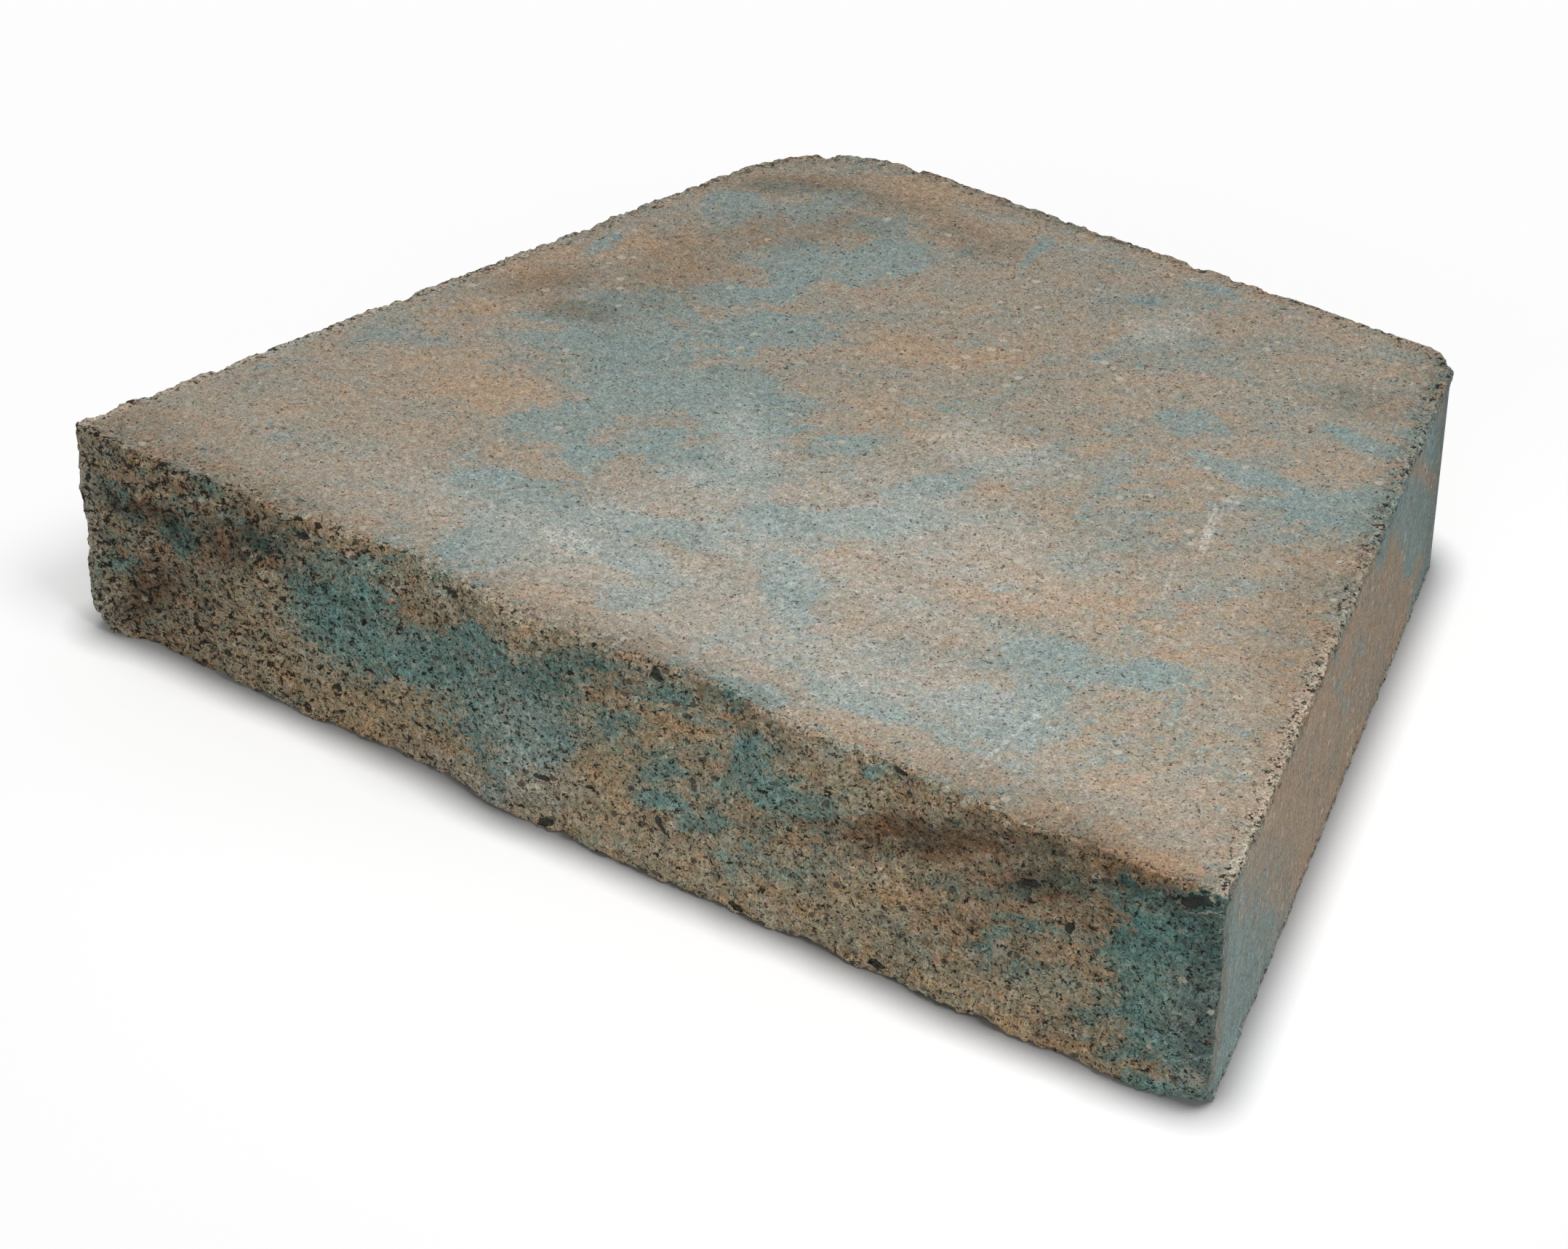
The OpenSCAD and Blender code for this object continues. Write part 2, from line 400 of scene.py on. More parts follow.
# Concrete: a buff and a blue-grey mix run together in sloping streaks. A patch is its place on
# the face in mm, its turn in degrees, and its half length and half width in mm. Places on the top
# are x and y, on the front x and z, and on the side the distance back from the front edge and z.
mixPlan = {
    "turn": 35,  # the streaks run along this direction in plan
    "tilt": 55,  # and slope this far from level
    "depth": 14,  # how far each patch reaches into the block, in mm
    "behind": 6,  # how far behind the block's front its own patches lie, in mm
    "blueTop": [
        (-106, 2, 40, 30, 22), (-73, 29, 40, 27, 11), (-82, -24, 0, 22, 22), (-50, -16, -20, 32, 19),
        (-44, -48, 0, 33, 13), (-92, -58, 40, 20, 12), (-72, -102, 0, 32, 11), (-132, -6, 20, 12, 4),
        (-62, 92, 90, 17, 12), (-88, 77, 40, 20, 8), (-90, 43, 40, 14, 8), (-77, 113, 40, 11, 7),
        (4, -64, 0, 20, 16), (24, -46, 40, 26, 9), (31, -18, 65, 18, 6), (28, -90, -50, 24, 8),
        (-26, -88, 20, 30, 8), (-84, -98, 0, 20, 8), (-67, -126, 90, 20, 11), (-26, -107, 0, 27, 8),
        (118, -75, 20, 22, 10), (140, -61, 20, 11, 8), (118, -113, 0, 20, 13), (122, -94, 90, 12, 9),
        (88, -127, 0, 48, 4), (146, 50, 20, 30, 11), (106, 50, 0, 27, 5), (133, 90, 0, 12, 4),
        (-22, 130, -70, 13, 3), (-151, 45, 90, 8, 4), (-196, -68, 65, 12, 5), (-9, -124, 20, 14, 6),
        (-59, 32, 40, 12, 8), (-130, 95, 20, 14, 9), (39, 146, 0, 11, 4), (78, 64, 20, 14, 6),
        (-8, -12, 40, 13, 6), (-70, 18, 40, 10, 7), (-71, -67, 40, 12, 9), (-80, 64, 90, 12, 9),
        (50, -142, 0, 12, 3.5), (160, 46, 0, 17, 8), (-99, 23, 0, 10, 6),
    ],
    "blueFront": [
        (-72, 47, 0, 22, 11), (-40, 42, 40, 32, 14), (200, 3, 0, 16, 4), (-50, 62, 20, 15, 7),
        (-99, 57, 20, 14, 8), (-84, 40, 0, 14, 8), (-30, 32, 40, 16, 10), (200, 47, 90, 31, 19),
        (-107, 46, 0, 22, 18), (217, 44, 90, 33, 20), (54, 60, 90, 11, 6),
    ],
    "blueSide": [
        (262, 50, -38, 74, 11), (4, 74, 90, 14, 8), (73, 20, -40, 12, 4), (10, 10, -40, 140, 52),
        (311, 22, 90, 26, 17), (311, 66, 90, 24, 17), (284, 66, -40, 24, 9), (262, 32, -40, 16, 5),
        (298, 5, 0, 24, 8),
    ],
    "mistTop": [
        (-112, 108, 40, 36, 24), (95, 12, 20, 44, 28), (85, -100, 65, 34, 18), (52, 26, 65, 38, 6),
        (-168, -52, 65, 24, 12), (128, -30, 65, 18, 10), (-112, -128, 0, 26, 12), (10, -124, 0, 60, 12),
        (-24, 140, 0, 36, 8), (-120, 100, 65, 24, 14), (-99, -146, 0, 24, 5), (70, 102, 0, 50, 14),
        (176, -8, 65, 16, 9), (86, 144, 0, 30, 10), (85, 42, 20, 20, 11), (150, -120, 20, 16, 10),
        (176, -20, 106, 50, 7), (140, -14, 55, 20, 6), (142, 110, -60, 22, 8),
    ],
    "mistFront": [
        (-185, 50, 20, 24, 10), (186, 14, 0, 14, 12), (-42, 16, 65, 16, 9), (-180, 70, 20, 30, 9),
        (168, 48, 90, 20, 12), (16, 65, 0, 56, 11), (58, 40, 30, 42, 20), (23, 33, 65, 23, 14),
        (-116, 75, 0, 20, 8), (-144, 64, 0, 16, 8), (121, 34, 20, 18, 10), (-200, 36, 20, 16, 8),
        (90, 69, 20, 20, 11), (2, 61, 90, 18, 8), (181, 57, 90, 16, 8), (160, 42, 20, 36, 17),
    ],
    "mistSide": [
        (166, 44, -32, 34, 5), (192, 42, -32, 30, 6),
    ],
    "ochreTop": [
        (-156, 22, 65, 18, 11), (-130, 62, 90, 20, 14), (-150, 80, 65, 20, 6), (-155, -15, 20, 16, 6),
        (-62, 143, 0, 36, 10), (66, 36, 65, 11, 5), (52, 2, 65, 14, 4), (52, -98, 90, 12, 7),
        (32, -66, 0, 10, 8), (-10, 56, 20, 36, 10), (5, 12, 0, 30, 8), (100, -44, 0, 46, 11),
        (166, -100, 65, 30, 10), (-30, -138, 20, 32, 6), (100, -143, 0, 40, 4), (82, -60, 20, 22, 9),
        (-144, 43, 65, 12, 8), (36, 19, 20, 15, 7), (-130, -54, 20, 27, 18), (149, -95, 65, 16, 8),
        (157, -66, 65, 15, 7), (186, -141, 0, 34, 7),
    ],
    "ochreSide": [
        (150, 36, 0, 190, 64),
    ],
    "ochreFront": [
        (-4, 16, 40, 30, 6), (122, 54, 40, 20, 5), (98, 30, 20, 22, 4), (132, 78, 0, 34, 3),
        (26, 62, 20, 12, 4), (144, 6, 0, 40, 5), (-106, 3, 0, 18, 6), (-25, 2, 0, 14, 4),
        (-4, 30, 65, 9, 7), (4, 40, 40, 9, 5), (69, 16, 0, 14, 5), (-82, 13, 0, 28, 15),
        (-122, 10, 0, 28, 9),
    ],
    # dark patches: partly stains, partly painted shade on the front's left end and high under the brow, at
    # the back of the top and at the side's back corner
    "darkTop": [
        (-129, 3, 20, 17, 7), (-118, 118, 40, 26, 8), (-30, 165, 0, 90, 12), (-148, 14, 60, 20, 10),
        (184, -151, 0, 34, 9),
    ],
    "darkFront": [
        (-196, 20, 50, 24, 8), (-150, 60, 20, 24, 8), (122, 62, 20, 40, 7), (206, 72, 0, 16, 6),
        (158, 62, 20, 16, 7), (-188, 58, 0, 20, 6),
    ],
    "darkSide": [
        (3, 42, 90, 48, 13), (318, 50, 90, 66, 30),
    ],
    # broad places gently darkened as painted shade: along the top's front and right edges, towards its
    # back, on the front and over the whole right side
    "dirtyTop": [
        (-204, -140, 0, 26, 14), (-84, 106, 40, 20, 10), (122, 112, 20, 24, 12), (-82, 128, 20, 20, 10),
        (-116, 46, 90, 44, 20), (-102, 88, 20, 24, 12), (-44, 125, 0, 24, 10), (176, -147, 0, 76, 19),
        (-160, -151, 0, 60, 13), (18, -151, 0, 44, 13), (170, -12, 106, 56, 18),
    ],
    "dirtyFront": [
        (-110, 58, 0, 50, 8), (110, 56, 20, 60, 8), (-184, 44, 90, 48, 34), (150, 44, 20, 40, 22),
        (182, 54, 90, 32, 25), (-16, 66, 20, 30, 10), (182, 12, 0, 24, 11),
    ],
    "dirtySide": [
        (150, 36, 0, 210, 70),
    ],
    # pale haze, partly painted light: it lifts the front's foot and its upright edges where they fall into
    # shade, and much of the near half of the top
    "hazeFront": [
        (-34, 28, 90, 34, 22), (-218, 50, 90, 30, 8), (-56, 2, 0, 40, 9), (-216, 4, 0, 20, 12),
        (214, 32, 90, 34, 12),
    ],
    "hazeTop": [
        (10, -114, 0, 140, 24), (-32, -32, -50, 26, 10), (92, -112, 20, 50, 14), (26, -76, 0, 80, 16),
        (46, -40, 0, 60, 30), (40, 112, 65, 16, 10), (-25, -58, 20, 22, 12), (-40, -88, 20, 24, 12),
        (0, -107, 0, 38, 12), (34, 12, 0, 26, 14), (-52, -107, 0, 30, 12),
    ],
    "scuffsTop": [
        (126, -112, 90, 24, 0.8), (117, 14, -70, 16, 2), (113, 34, 0, 3, 2), (122, -20, -70, 12, 0.8),
        (-44, -110, 0, 12, 5),
    ],
    # single stones that anyone would notice
    "chipsFront": [
        (20, 20, -50, 3.8, 1.1), (-25, 21, 0, 3, 1.5), (-113, 17, 65, 2.2, 1.5), (-62, 76, 0, 3.8, 1.1),
        (-194, 76, -20, 3, 1.2), (154, 60, 20, 3.8, 1.5), (107, 79, 0, 3, 1.4), (102, 4, 0, 3, 1.5),
        (-25, 3, 40, 3, 2.2), (50, 3, 0, 3.8, 1.2), (-122, 74, 0, 2.2, 1.4), (168, 49, 65, 2.2, 1.5),
        (18, 78, -50, 2.2, 1.7), (201, 75, 0, 1.9, 1), (208.5, 76.5, 22, 6.5, 2.3),
    ],
    "palesFront": [
        (84, 76, 20, 6, 3), (45, 27, 0, 2, 2.4), (212, 13, 0, 5, 5), (146, 32, 0, 4, 4),
        (-90, 57, 0, 3, 2), (211, 73.5, 25, 9, 0.5),
    ],
}


# Tones, as they read on a paint chart. Where there are two, they are the darker and the lighter
# end of a mix, or the same thing on the skin and on the break.
tonePlan = {
    "buffSkin": [(150, 142, 130), (168, 158, 143)],
    "buffBroken": [(158, 148, 128), (186, 174, 150)],
    "ochre": [(175, 149, 123), (193, 163, 124)],
    "blueSkin": [(121, 142, 141), (150, 162, 160)],
    "blueMoulded": [(115, 143, 146), (139, 161, 163)],
    "blueBroken": [(99, 137, 133), (137, 168, 163)],
    # the next two darken by multiplying: dark patches are partly stains and partly painted shade, the
    # gentler ones are painted shade only
    "dark": [(215, 206, 196), (176, 160, 150)],
    "darkBlue": [(156, 164, 164)],
    "dirty": [(234, 228, 222), (232, 219, 212)],
    "dirtyBlue": [(212, 224, 224)],
    "haze": [(192, 192, 186)],
    "crumbled": [(190, 178, 162)],
    "scuffed": [(206, 204, 196)],
    "paleStone": [(200, 192, 174)],
    "darkStone": [(80, 72, 64)],
    "palePiece": [(190, 184, 168)],
    "chip": [(40, 43, 40)],
    # painted shade inside the pores
    "poreShade": [(52, 50, 46)],
}

# Patterns: how far apart the lumps of each lie, in mm, and for a noise its detail and roughness
grainPlan = {
    "streak": (18, 4, 0.75),
    "streakApart": (16, 4, 0.75),
    "fringe": (5, 4, 0.7),
    "broad": (45, 3, 0.7),
    "clumps": (2.8, 3, 0.65),
    "dust": (0.8, 2, 0.8),
    "largePores": (2.2, 3, 0.75),
    "smallPores": (1.3, 2, 0.7),
    "curls": (4, 1, 0.6),
    "drag": (1.1, 1, 0.7),
    "grains": 1.3,
    "stones": 3.4,
    # how they are drawn out along the streaks, down their slope and across them; less is longer
    "drawn": (0.5, 0.65, 1.3),
    "drawnApart": (0.4, 0.55, 1.5),
    "flat": (0.8, 0.88, 1.1),
    "dragDrawn": (1, 1, 0.04),
    "apart": (1.7, 0.4, 2.3),  # sets the second streaks off from the first
    # spacing and reach of what pushes the patches about, in mm
    "nudges": [(3, 3)],
    "bends": [(30, 14), (8, 8)],
    # height of each pattern, in mm
    "dustHeight": 0.4,
    "poreHeight": -0.7,
    "dragHeight": 0.12,
    "clumpHeight": 1.6,
}


# How each kind of patch ends: how softly patches run together, how deep inside them the mix begins
# and is full (1 is a patch's middle, 0 its edge), and how far each pattern moves their edges. Where
# a pattern has three reaches, they are for the skin, the break and the moulded walls.
edgePlan = {
    "blue": {
        "soft": 0.2, "begins": -0.46, "full": 0.24,
        "waves": {"streak": (2.6, 1.8, 0.45), "fringe": (2.8, 1.4, 0.5), "grainHue": (0.45, 0.45, 0.45)},
    },
    "mist": {"soft": 0.3, "begins": -0.4, "full": 0.5},
    "ochre": {
        "soft": 0.2, "begins": -0.28, "full": 0.45,
        "waves": {"streakApart": 1.8, "fringe": -1.2, "grainMix": 0.2},
    },
    "dark": {"soft": 0.4, "begins": -0.6, "full": 0.9, "waves": {"streak": 1.2, "fringe": 0.8}},
    "dirty": {"soft": 0.4, "begins": -0.5, "full": 0.7, "waves": {"fringe": 1.2}},
    "haze": {"soft": 0.3, "begins": -0.5, "full": 1.1, "waves": {"fringe": 1.4, "clumps": 1.2}},
    "scuffs": {"soft": 0.0, "begins": -0.3, "full": 0.6, "waves": {"clumps": 3.0}},
    "chips": {"soft": 0.0, "begins": -0.04, "full": 0.08, "waves": {"clumps": 2.4}},
    "pales": {"soft": 0.0, "begins": 0.0, "full": 0.4},
}

# How strong each thing is, from 0 to 1. Where there are two, the skin's comes before the break's.
sharePlan = {
    "mistLeast": (0.22, 0.18),
    "mistMost": (0.62, 0.76),
    "ochre": 0.72,
    "ochreOnWalls": 0.42,
    "ochreAtEdges": 0.3,
    "haze": 0.5,
    "crumbs": 0.7,
    "scuffs": 0.4,
    "backShade": 0.88,  # painted shade: the back of the top is a little darker than the front
    "grainHue": 0.22,
    "stoneHue": 0.3,
    "stones": (0.35, 1.0),
    "paleStones": 0.55,
    "darkStones": 0.8,
    "pales": 0.5,
    "chips": 0.92,
    "smallPores": 0.8,
    "pores": (0.8, 0.96),
    "strokes": 0.8,
    "wornBrow": 0.6,
}

# How much each pattern darkens and lightens, on the skin and where it is worn off
levelPlan = {
    # dust and clumps: partly the grain's own tone, partly painted shade in the relief's hollows and
    # painted light on its lumps
    "dust": (0.5, 0.6),
    "clumps": (0.16, 0.36),
    "grainLevel": (0.08, 0.12),
    "drag": (0.2, 0.16),  # darker and lighter, on the moulded walls
}

# Grains and stones: the two hues that they lie between, and which of them show. A pair of levels
# is the skin's and the break's, or where something begins and is full.
stonePlan = {
    "grainHues": [(0.6, 0.48, 0.4, 1), (0.42, 0.52, 0.54, 1)],
    "grainVariety": 0.2,
    "stoneHues": [(0.66, 0.46, 0.36, 1), (0.4, 0.54, 0.52, 1)],
    "body": (0.42, 0.30),
    "paleFrom": (0.97, 0.93),
    "darkFrom": (0.885, 0.905),
}

# Pores: where a pattern rises over its level there is a pore, sooner where the block is cracked.
# A pair of levels is the skin's and the break's, or where something begins and is full.
porePlan = {
    "large": (0.66, 0.6),
    "small": (0.64, 0.59),
    "largeRim": 0.03,
    "smallRim": 0.05,
    "cracked": 0.055,
    "crackedFrom": -200,  # fully so at this x, in mm, and not at all in the middle
    "crumbling": (0.018, 0.045),
    "curl": (0.016, 0.004),
    "curlsFrom": (0.5, 0.56),
}


# Where each kind of surface begins and is full
surfacePlan = {
    "upright": (0.5, 0.3),  # a wall's normal rises no more than this
    "waver": 1.6,  # how much clumps move the border of the break
    "broken": (0.3, 0.7),
    "brow": (18, 6),  # the top's worn front edge, in mm behind the block's front
    "browWaver": -9,
    "upward": (0.3, 0.8),
    "nearer": (40, -60),  # in mm, towards the front
    "further": (-60, 150),  # and towards the back
    "splitOnTop": 0.3,  # how much of the break's colour the edge of the top may take
}

# How the surface takes the light
shinePlan = {"specular": 0.25, "roughness": (0.82, 0.97)}

# Veins of one mix in another: where they begin and are full, and the least and the most there
veinPlan = {
    "blue": (0.35, 0.6, 0.82, 1.0),
    "mist": (0.42, 0.6, 0.03, 1.2),
    "speckles": (0.44, 0.62, 0, 0.6),
}


def toneOf(name):
    return tone(*tonePlan[name][0])


def between(tree, share, name):
    first, second = tonePlan[name]
    return mixColours(tree, share, tone(*first), tone(*second))


def turned(turn, face):
    # rows: along a patch, across it and into the face
    level = Matrix.Rotation(math.radians(turn), 3, "Z")
    stand = Matrix.Rotation(math.radians(90), 3, "X")
    swing = Matrix.Rotation(math.radians(sidePlan["heading"]), 3, "Z")
    return ({"Top": level, "Front": stand @ level, "Side": swing @ stand @ level}[face]).transposed()


def centreOf(face, far, high):
    if face == "Top":
        return Vector((far, high, blockHigh.z / mm))
    if face == "Front":
        return Vector((far, blockLow.y / mm + mixPlan["behind"], high))
    x, behind = sidePlan["start"]
    heading = math.radians(sidePlan["heading"])
    return Vector((x + far * math.cos(heading), blockLow.y / mm + behind + far * math.sin(heading), high))


def patches(tree, place, name, faces=("Top", "Front", "Side")):
    # 1 at the middle of a patch, 0 at its edge and below 0 outside it
    field = None
    frames = {}
    for face in faces:
        for far, high, turn, long, wide in mixPlan.get(name + face, []):
            rows = turned(turn, face)
            if (face, turn) not in frames:
                spin = {"Vector": place, "Rotation": rows.to_euler()}
                frames[face, turn] = put(tree, "Mapping", spin, vector_type="POINT").outputs[0]
            size = Vector((long, wide, mixPlan["depth"])) * mm
            middle = rows @ centreOf(face, far, high) * mm
            scale = [1 / length for length in size]
            offset = [-where / length for where, length in zip(middle, size)]
            reach = {0: frames[face, turn], 1: scale, 2: offset}
            moved = put(tree, "VectorMath", reach, operation="MULTIPLY_ADD").outputs[0]
            away = put(tree, "VectorMath", {0: moved}, operation="LENGTH").outputs["Value"]
            if field is None:
                field = away
            else:
                ends = {0: field, 1: away, 2: edgePlan[name]["soft"]}
                field = put(tree, "Math", ends, operation="SMOOTH_MIN").outputs[0]
    return joinMath(tree, "SUBTRACT", 1.0, field)


def plainly(tree, name, field):
    return spread(tree, field, edgePlan[name]["begins"], edgePlan[name]["full"])


def ragged(tree, signs, name, field):
    # a patch whose edge breaks up into streaks and grains
    total = put(tree, "Clamp", {"Value": field, "Min": -0.5, "Max": 0.5}).outputs[0]
    for wave, reach in edgePlan[name]["waves"].items():
        if isinstance(reach, tuple):
            skin, bare, walls = reach
            reach = spread(tree, signs["broken"], 0, 1, skin, bare, smooth=False)
            reach = spread(tree, signs["moulded"], 0, 1, reach, walls, smooth=False)
        push = joinMath(tree, "MULTIPLY", joinMath(tree, "SUBTRACT", signs[wave], 0.5), reach)
        total = joinMath(tree, "ADD", total, push)
    return plainly(tree, name, total)


def bend(tree, place, layers):
    # pushes a pattern about, so that no patch is a plain oval
    bent = place
    for spacing, reach in layers:
        noise = noiseAt(tree, place, spacing * mm, 2, 0.6).outputs["Color"]
        centred = put(tree, "VectorMath", {0: noise, 1: (0.5, 0.5, 0.5)}, operation="SUBTRACT").outputs[0]
        push = put(tree, "VectorMath", {0: centred, "Scale": reach * mm}, operation="SCALE").outputs[0]
        bent = put(tree, "VectorMath", {0: bent, 1: push}, operation="ADD").outputs[0]
    return bent


def pattern(tree, where, name):
    spacing, detail, roughness = grainPlan[name]
    return noiseAt(tree, where, spacing * mm, detail, roughness).outputs["Fac"]


def stretched(tree, place, scale, offset=(0, 0, 0)):
    values = {"Vector": place, "Scale": scale, "Location": offset}
    return put(tree, "Mapping", values, vector_type="POINT").outputs[0]


def times(tree, *values):
    total = values[0]
    for value in values[1:]:
        total = joinMath(tree, "MULTIPLY", total, value)
    return total


def largest(tree, *values):
    most = values[0]
    for value in values[1:]:
        most = joinMath(tree, "MAXIMUM", most, value)
    return most


def shaded(tree, colour, noise, dark, light):
    # darkens and lightens a colour by a noise, which seldom leaves 0.25 to 0.75
    level = spread(tree, noise, 0.25, 0.75, dark, light, smooth=False)
    return mixColours(tree, 1.0, colour, greyOf(tree, level), "MULTIPLY")


def streakFrame():
    # rows: along the streaks, down their slope, across them
    turn = math.radians(mixPlan["turn"])
    tilt = math.radians(mixPlan["tilt"])
    along = Vector((math.cos(turn), math.sin(turn), 0))
    down = Vector((-math.sin(turn) * math.sin(tilt), math.cos(turn) * math.sin(tilt), -math.cos(tilt)))
    return Matrix((along, down, along.cross(down)))


def nearEdge(tree, place, noise):
    # 1 along the edges between the moulded faces, fading out raggedly over the crumbly band
    slope = math.radians(sidePlan["heading"] - 90)
    rooms = []
    for side in (-1, 1):
        outward = (side * math.cos(slope), math.sin(slope), 0)
        along = put(tree, "VectorMath", {0: place, 1: outward}, operation="DOT_PRODUCT").outputs["Value"]
        rooms.append(joinMath(tree, "SUBTRACT", sidePlan["reach"] * mm, along))
    parts = put(tree, "SeparateXYZ", {0: place}).outputs
    leftBlend, rightBlend = sidePlan["cornerBlend"]
    back = joinMath(tree, "SUBTRACT", blockHigh.y, parts["Y"])
    inPlan = back
    for room, blend in ((rooms[0], leftBlend), (rooms[1], rightBlend)):
        ends = {0: inPlan, 1: room, 2: blend * mm}
        inPlan = put(tree, "Math", ends, operation="SMOOTH_MIN").outputs[0]
    below = joinMath(tree, "SUBTRACT", blockHigh.z, parts["Z"])
    inHeight = joinMath(tree, "MINIMUM", below, parts["Z"])
    away = joinMath(tree, "MAXIMUM", inPlan, inHeight)
    wave = joinMath(tree, "MULTIPLY", joinMath(tree, "SUBTRACT", noise, 0.5), 2 * sidePlan["crumbly"] * mm)
    away = joinMath(tree, "ADD", away, wave)
    return spread(tree, away, sidePlan["crumbly"] * mm, 0.2 * sidePlan["crumbly"] * mm)


# What the parts of the material share: places, noises and where each kind of surface is
def surfaceSigns(tree):
    signs = {}
    coords = put(tree, "TexCoord")
    place = coords.outputs["Object"]
    signs["place"] = place
    signs["broken"] = put(tree, "Attribute", attribute_name="broken").outputs["Fac"]
    facing = put(tree, "SeparateXYZ", {0: coords.outputs["Normal"]}).outputs["Z"]
    upright = spread(tree, joinMath(tree, "ABSOLUTE", facing), *surfacePlan["upright"])
    signs["moulded"] = joinMath(tree, "SUBTRACT", upright, signs["broken"], clamp=True)

    slant = {"Vector": place, "Rotation": streakFrame().to_euler()}
    streaks = put(tree, "Mapping", slant, vector_type="POINT").outputs[0]
    signs["drawn"] = stretched(tree, streaks, grainPlan["drawn"])
    signs["drawnApart"] = stretched(tree, streaks, grainPlan["drawnApart"], grainPlan["apart"])
    signs["flat"] = stretched(tree, streaks, grainPlan["flat"])
    signs["nudged"] = bend(tree, place, grainPlan["nudges"])
    signs["bent"] = bend(tree, signs["nudged"], grainPlan["bends"])
    for name in ("streak", "fringe"):
        signs[name] = pattern(tree, signs["drawn"], name)
    for name in ("streakApart", "broad"):
        signs[name] = pattern(tree, signs["drawnApart"], name)
    for name in ("dust", "clumps"):
        signs[name] = pattern(tree, place, name)
    signs["grains"] = cellsAt(tree, place, grainPlan["grains"]).outputs["Color"]
    values = put(tree, "SeparateColor", {0: signs["grains"]}).outputs
    signs["grainHue"], signs["grainMix"], signs["grainLevel"] = values
    waver = joinMath(tree, "SUBTRACT", signs["clumps"], 0.5)
    waver = joinMath(tree, "MULTIPLY", waver, surfacePlan["waver"])
    broken = joinMath(tree, "ADD", signs["broken"], waver)
    signs["broken"] = spread(tree, broken, *surfacePlan["broken"])
    signs["edge"] = nearEdge(tree, place, signs["clumps"])
    y = put(tree, "SeparateXYZ", {0: place}).outputs["Y"]
    browWaver = joinMath(tree, "MULTIPLY", waver, surfacePlan["browWaver"] * mm)
    fromBrow, toBrow = (blockLow.y + behind * mm for behind in surfacePlan["brow"])
    brow = spread(tree, joinMath(tree, "ADD", y, browWaver), fromBrow, toBrow)
    brow = times(tree, brow, sharePlan["wornBrow"])
    signs["worn"] = largest(tree, signs["broken"], signs["edge"], brow)
    signs["upward"] = spread(tree, facing, *surfacePlan["upward"])
    signs["nearer"] = spread(tree, y, *(edge * mm for edge in surfacePlan["nearer"]))
    onTop = spread(tree, signs["upward"], 0, 1, 1.0, surfacePlan["splitOnTop"])
    signs["split"] = times(tree, signs["broken"], onTop)
    return signs


def mixedColour(tree, signs):
    # where each mix lies
    bent, broken, moulded = signs["bent"], signs["broken"], signs["moulded"]
    field = patches(tree, bent, "blue", ("Top", "Front"))
    field = largest(tree, field, patches(tree, signs["nudged"], "blue", ("Side",)))
    blue = ragged(tree, signs, "blue", field)
    blue = times(tree, blue, spread(tree, signs["streakApart"], *veinPlan["blue"]))
    least = spread(tree, broken, 0, 1, *sharePlan["mistLeast"])
    most = spread(tree, broken, 0, 1, *sharePlan["mistMost"])
    begins, full = edgePlan["mist"]["begins"], edgePlan["mist"]["full"]
    mist = spread(tree, patches(tree, bent, "mist"), begins, full, least, most)
    mist = times(tree, mist, spread(tree, signs["streak"], *veinPlan["mist"]))
    blue = largest(tree, blue, mist)
    ochre = ragged(tree, signs, "ochre", patches(tree, bent, "ochre"))
    richness = spread(tree, moulded, 0, 1, sharePlan["ochre"], sharePlan["ochreOnWalls"])
    richness = times(tree, richness, spread(tree, signs["edge"], 0, 1, 1, sharePlan["ochreAtEdges"]))
    speckled = spread(tree, signs["fringe"], *veinPlan["speckles"])
    ochre = largest(tree, times(tree, ochre, richness), speckled)
    dark = ragged(tree, signs, "dark", patches(tree, bent, "dark"))
    dirty = ragged(tree, signs, "dirty", patches(tree, bent, "dirty"))
    haze = ragged(tree, signs, "haze", patches(tree, bent, "haze"))
    scuffs = ragged(tree, signs, "scuffs", patches(tree, signs["place"], "scuffs"))

    # the mixes themselves, purer where the stone is freshly broken
    broken, broad = signs["split"], signs["broad"]
    buffSkin = between(tree, broad, "buffSkin")
    buffBroken = between(tree, broad, "buffBroken")
    buff = mixColours(tree, broken, buffSkin, buffBroken)
    buff = mixColours(tree, ochre, buff, between(tree, broken, "ochre"))
    blueSkin = between(tree, broad, "blueSkin")
    blueMoulded = between(tree, broad, "blueMoulded")
    blueSkin = mixColours(tree, moulded, blueSkin, blueMoulded)
    blueBroken = between(tree, broad, "blueBroken")
    colour = mixColours(tree, blue, buff, mixColours(tree, broken, blueSkin, blueBroken))
    # pale haze, partly painted light that lifts shaded places
    colour = mixColours(tree, times(tree, haze, sharePlan["haze"]), colour, toneOf("haze"))

    # stains and painted shade over them
    cool = times(tree, blue, broken)
    # dark patches darken the colour: partly stains, partly painted shade
    darkTone = mixColours(tree, cool, between(tree, broken, "dark"), toneOf("darkBlue"))
    colour = mixColours(tree, dark, colour, darkTone, "MULTIPLY")
    # gentle painted shade over broad places
    paintedShadeTone = mixColours(tree, cool, between(tree, broken, "dirty"), toneOf("dirtyBlue"))
    colour = mixColours(tree, dirty, colour, paintedShadeTone, "MULTIPLY")
    crumbled = times(tree, signs["edge"], signs["upward"], signs["nearer"], sharePlan["crumbs"])
    colour = mixColours(tree, crumbled, colour, toneOf("crumbled"))
    # painted shade: the colour darkens towards the back of the top
    y = put(tree, "SeparateXYZ", {0: signs["place"]}).outputs["Y"]
    fromHere, toHere = (edge * mm for edge in surfacePlan["further"])
    back = spread(tree, y, fromHere, toHere, 1.0, sharePlan["backShade"], smooth=False)
    colour = mixColours(tree, 1.0, colour, greyOf(tree, back), "MULTIPLY")
    return mixColours(tree, times(tree, scuffs, sharePlan["scuffs"]), colour, toneOf("scuffed"))


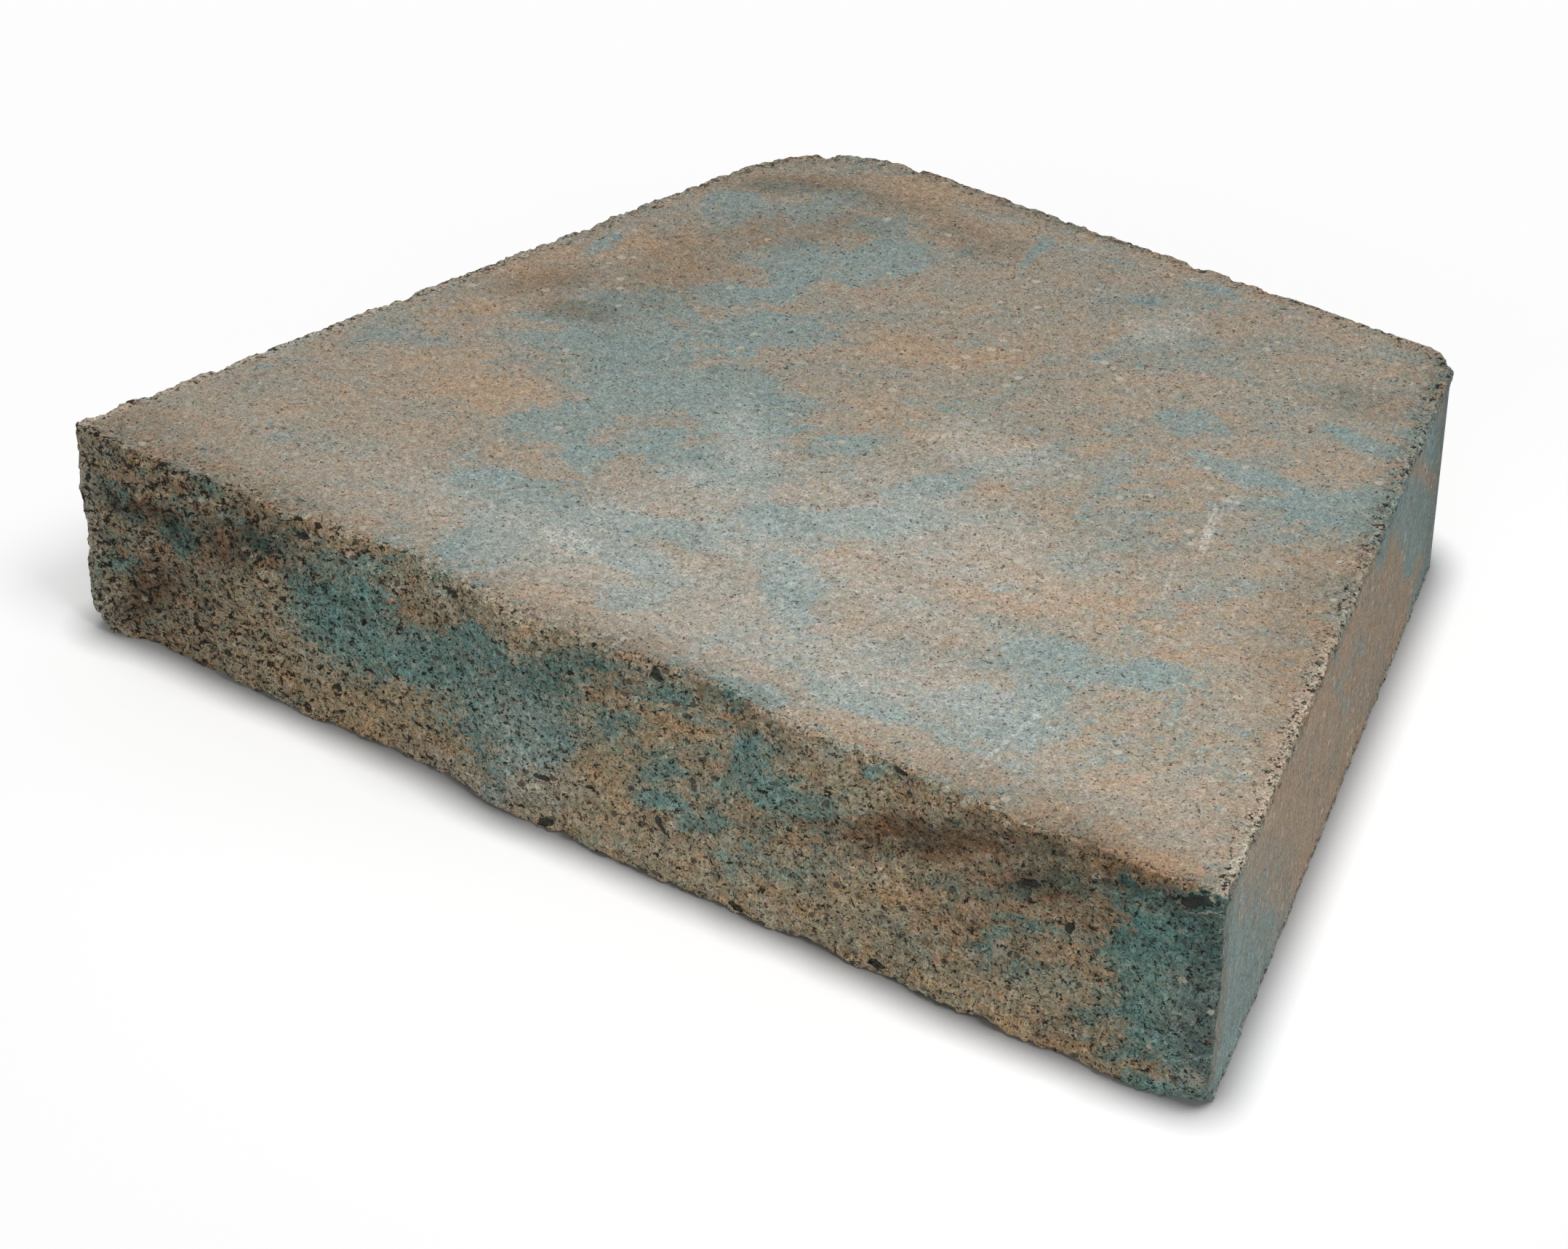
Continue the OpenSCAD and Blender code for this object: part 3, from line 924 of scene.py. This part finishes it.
def sandy(tree, signs, colour):
    # every grain has a tone and a slight hue of its own, more so where the skin is gone; the hollows of
    # the relief are painted darker and its lumps lighter
    hue = mixColours(tree, signs["grainHue"], *stonePlan["grainHues"])
    hue = mixColours(tree, stonePlan["grainVariety"], hue, signs["grains"])
    colour = mixColours(tree, sharePlan["grainHue"], colour, hue, "OVERLAY")
    # dust and clumps darken where their bumps sink and lighten where they rise: partly the grain's own
    # tone, partly painted shade and light on the relief
    for name in ("dust", "clumps", "grainLevel"):
        skin, bare = levelPlan[name]
        fine = shaded(tree, colour, signs[name], 1 - skin, 1 + skin)
        rough = shaded(tree, colour, signs[name], 1 - bare, 1 + bare)
        colour = mixColours(tree, signs["worn"], fine, rough)
    return colour


def stony(tree, signs, colour):
    # small stones everywhere in the break, and a few that anyone would notice
    broken, worn = signs["broken"], signs["worn"]
    stones = cellsAt(tree, signs["flat"], grainPlan["stones"])
    pick = put(tree, "SeparateColor", {0: stones.outputs["Color"]}).outputs
    body = spread(tree, stones.outputs["Distance"], *stonePlan["body"])
    shown = spread(tree, worn, 0, 1, *sharePlan["stones"], smooth=False)
    warmth = mixColours(tree, pick[2], *stonePlan["stoneHues"])
    colour = mixColours(tree, times(tree, shown, sharePlan["stoneHue"]), colour, warmth, "OVERLAY")
    paleFrom = spread(tree, worn, 0, 1, *stonePlan["paleFrom"], smooth=False)
    pale = times(tree, body, joinMath(tree, "GREATER_THAN", pick[0], paleFrom), sharePlan["paleStones"])
    dark = times(tree, body, spread(tree, pick[1], *stonePlan["darkFrom"]), shown, sharePlan["darkStones"])
    colour = mixColours(tree, pale, colour, toneOf("paleStone"))
    colour = mixColours(tree, dark, colour, toneOf("darkStone"))
    nudged = signs["nudged"]
    pales = plainly(tree, "pales", patches(tree, nudged, "pales"))
    pales = times(tree, pales, broken, sharePlan["pales"])
    chips = ragged(tree, signs, "chips", patches(tree, nudged, "chips"))
    chips = times(tree, chips, broken, sharePlan["chips"])
    colour = mixColours(tree, pales, colour, toneOf("palePiece"))
    return mixColours(tree, chips, colour, toneOf("chip"))


def porous(tree, signs, colour):
    # a few pores on the moulded faces, many on the break and along worn edges, darkened as painted shade
    # in the pits and strokes
    worn = signs["worn"]
    large = pattern(tree, signs["flat"], "largePores")
    small = pattern(tree, signs["place"], "smallPores")
    x = put(tree, "SeparateXYZ", {0: signs["place"]}).outputs["X"]
    large = joinMath(tree, "SUBTRACT", large, spread(tree, worn, 0, 1, *porePlan["large"], smooth=False))
    leftwards = spread(tree, x, 0.0, porePlan["crackedFrom"] * mm)
    cracked = times(tree, leftwards, signs["broken"], porePlan["cracked"])
    crumbling = spread(tree, signs["nearer"], 0, 1, *porePlan["crumbling"])
    cracked = largest(tree, cracked, times(tree, signs["edge"], signs["upward"], crumbling))
    large = joinMath(tree, "ADD", large, cracked)
    small = joinMath(tree, "SUBTRACT", small, spread(tree, worn, 0, 1, *porePlan["small"], smooth=False))
    small = times(tree, spread(tree, small, 0, porePlan["smallRim"]), sharePlan["smallPores"])
    signs["pores"] = largest(tree, spread(tree, large, 0, porePlan["largeRim"]), small)
    pitted = joinMath(tree, "ADD", signs["fringe"], cracked)
    curl = joinMath(tree, "SUBTRACT", pattern(tree, signs["nudged"], "curls"), 0.5)
    curl = joinMath(tree, "ABSOLUTE", curl)
    curly = spread(tree, pitted, *porePlan["curlsFrom"])
    strokes = times(tree, spread(tree, curl, *porePlan["curl"]), curly, worn)
    sunk = times(tree, signs["pores"], spread(tree, worn, 0, 1, *sharePlan["pores"], smooth=False))
    sunk = largest(tree, sunk, times(tree, strokes, sharePlan["strokes"]))
    return mixColours(tree, sunk, colour, toneOf("poreShade"), "MULTIPLY")


def concrete():
    material = bpy.data.materials.new("concrete")
    material.use_nodes = True
    tree = material.node_tree
    shader = tree.nodes["Principled BSDF"]
    shader.inputs["Specular IOR Level"].default_value = shinePlan["specular"]
    signs = surfaceSigns(tree)
    colour = mixedColour(tree, signs)
    colour = sandy(tree, signs, colour)
    colour = stony(tree, signs, colour)
    colour = porous(tree, signs, colour)

    # drag lines that the mould leaves down its walls
    walls = stretched(tree, signs["place"], grainPlan["dragDrawn"])
    drag = pattern(tree, walls, "drag")
    darker, lighter = levelPlan["drag"]
    dragged = shaded(tree, colour, drag, 1 - darker, 1 + lighter)
    colour = mixColours(tree, signs["moulded"], colour, dragged)
    tree.links.new(colour, shader.inputs["Base Color"])
    roughness = spread(tree, signs["dust"], 0.3, 0.7, *shinePlan["roughness"])
    tree.links.new(roughness, shader.inputs["Roughness"])

    # height in metres: dust, sunk pores, drag lines and the worn surface's grain
    height = times(tree, signs["dust"], grainPlan["dustHeight"] * mm)
    for part in (
        times(tree, signs["pores"], grainPlan["poreHeight"] * mm),
        times(tree, drag, signs["moulded"], grainPlan["dragHeight"] * mm),
        times(tree, signs["clumps"], signs["worn"], grainPlan["clumpHeight"] * mm),
    ):
        height = joinMath(tree, "ADD", height, part)
    bump = put(tree, "Bump", {"Height": height, "Distance": 1.0, "Strength": 1.0})
    tree.links.new(bump.outputs[0], shader.inputs["Normal"])
    return material


makeCamera()
makeLight()
makeFloor()
print("camera, light and floor ready")
makeBlock()

bpy.context.scene.view_settings.view_transform = "Standard"
